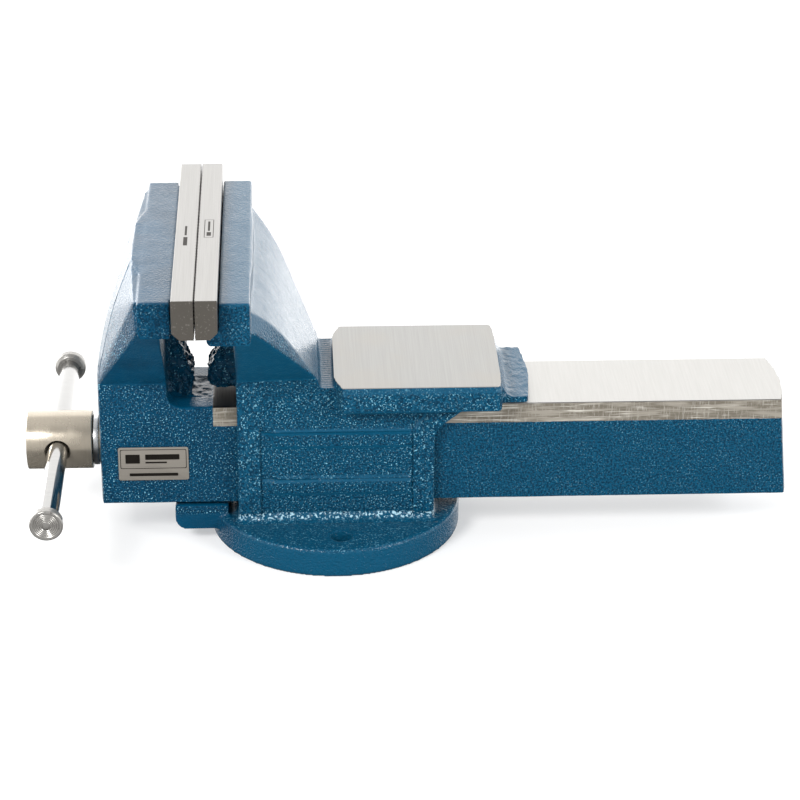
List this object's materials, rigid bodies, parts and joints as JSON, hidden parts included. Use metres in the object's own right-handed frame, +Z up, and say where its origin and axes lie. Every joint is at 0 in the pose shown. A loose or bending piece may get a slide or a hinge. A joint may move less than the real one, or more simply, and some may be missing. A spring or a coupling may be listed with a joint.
{
  "type": "bench vise",
  "caption": "Bench vise on a round bolted base, with wide jaws, a rear anvil and a sliding beam driven by a threaded spindle with a sliding handle bar.",
  "frame": {"origin": "centre of the round base's underside", "axes": "+X along the beam from the handle towards the tail, +Y across the jaws towards the operator's left when facing the jaws from the handle end, +Z up from the bench"},
  "size_m": [0.4301, 0.2057, 0.1794],
  "materials": {
    "blue_paint": "deep teal-blue hammered enamel, pitted and speckled, glossy",
    "ground_steel": "ground bare steel with fine cross lines",
    "black_oxide": "black oxide, slightly oily",
    "cast_iron": "bare grey casting, machined bore",
    "zinc_plate": "bright zinc plate",
    "brushed_label": "brushed sheet with etched frame lines",
    "satin_nickel": "satin nickel plate, turned",
    "spring_steel": "oiled spring steel",
    "chrome": "polished chrome plate",
    "turned_steel": "lathe-turned bare steel with ring marks"
  },
  "bodies": {
    "vise_base": {"fixed_body": "blue_paint", "fixed_jaw_plate": "ground_steel", "fixed_jaw_screw_near": "black_oxide", "fixed_jaw_screw_far": "black_oxide", "spindle_nut": "cast_iron", "nut_bolt_front": "zinc_plate", "nut_bolt_rear": "zinc_plate", "nut_washer_front": "zinc_plate", "nut_washer_rear": "zinc_plate"},
    "moving_jaw": {"moving_jaw_body": "blue_paint", "moving_jaw_plate": "ground_steel", "moving_jaw_screw_near": "black_oxide", "moving_jaw_screw_far": "black_oxide", "nameplate": "brushed_label"},
    "screw": {"spindle": "satin_nickel", "thrust_collar": "zinc_plate", "return_spring": "spring_steel", "spring_washer": "zinc_plate", "cross_pin": "spring_steel"},
    "handle": {"handle_bar": "chrome", "handle_knob_near": "turned_steel", "handle_knob_far": "turned_steel"}
  },
  "joints": [
    {"name": "jaw_travel", "type": "slide", "parent": "vise_base", "child": "moving_jaw", "axis": [-1, 0, 0], "range_m": [0, 0.18]},
    {"name": "spindle_turn", "type": "hinge", "parent": "moving_jaw", "child": "screw", "pos_m": [-0.1555, 0, 0.0525], "axis": [-1, 0, 0], "range_deg": [0, 10800]},
    {"name": "handle_slide", "type": "slide", "parent": "screw", "child": "handle", "axis": [0, 1, 0], "range_m": [-0.0775, 0.081]}
  ],
  "couplings": [
    {"joint": "jaw_travel", "follows": "spindle_turn", "m_per_rad": 0.00095493}
  ]
}
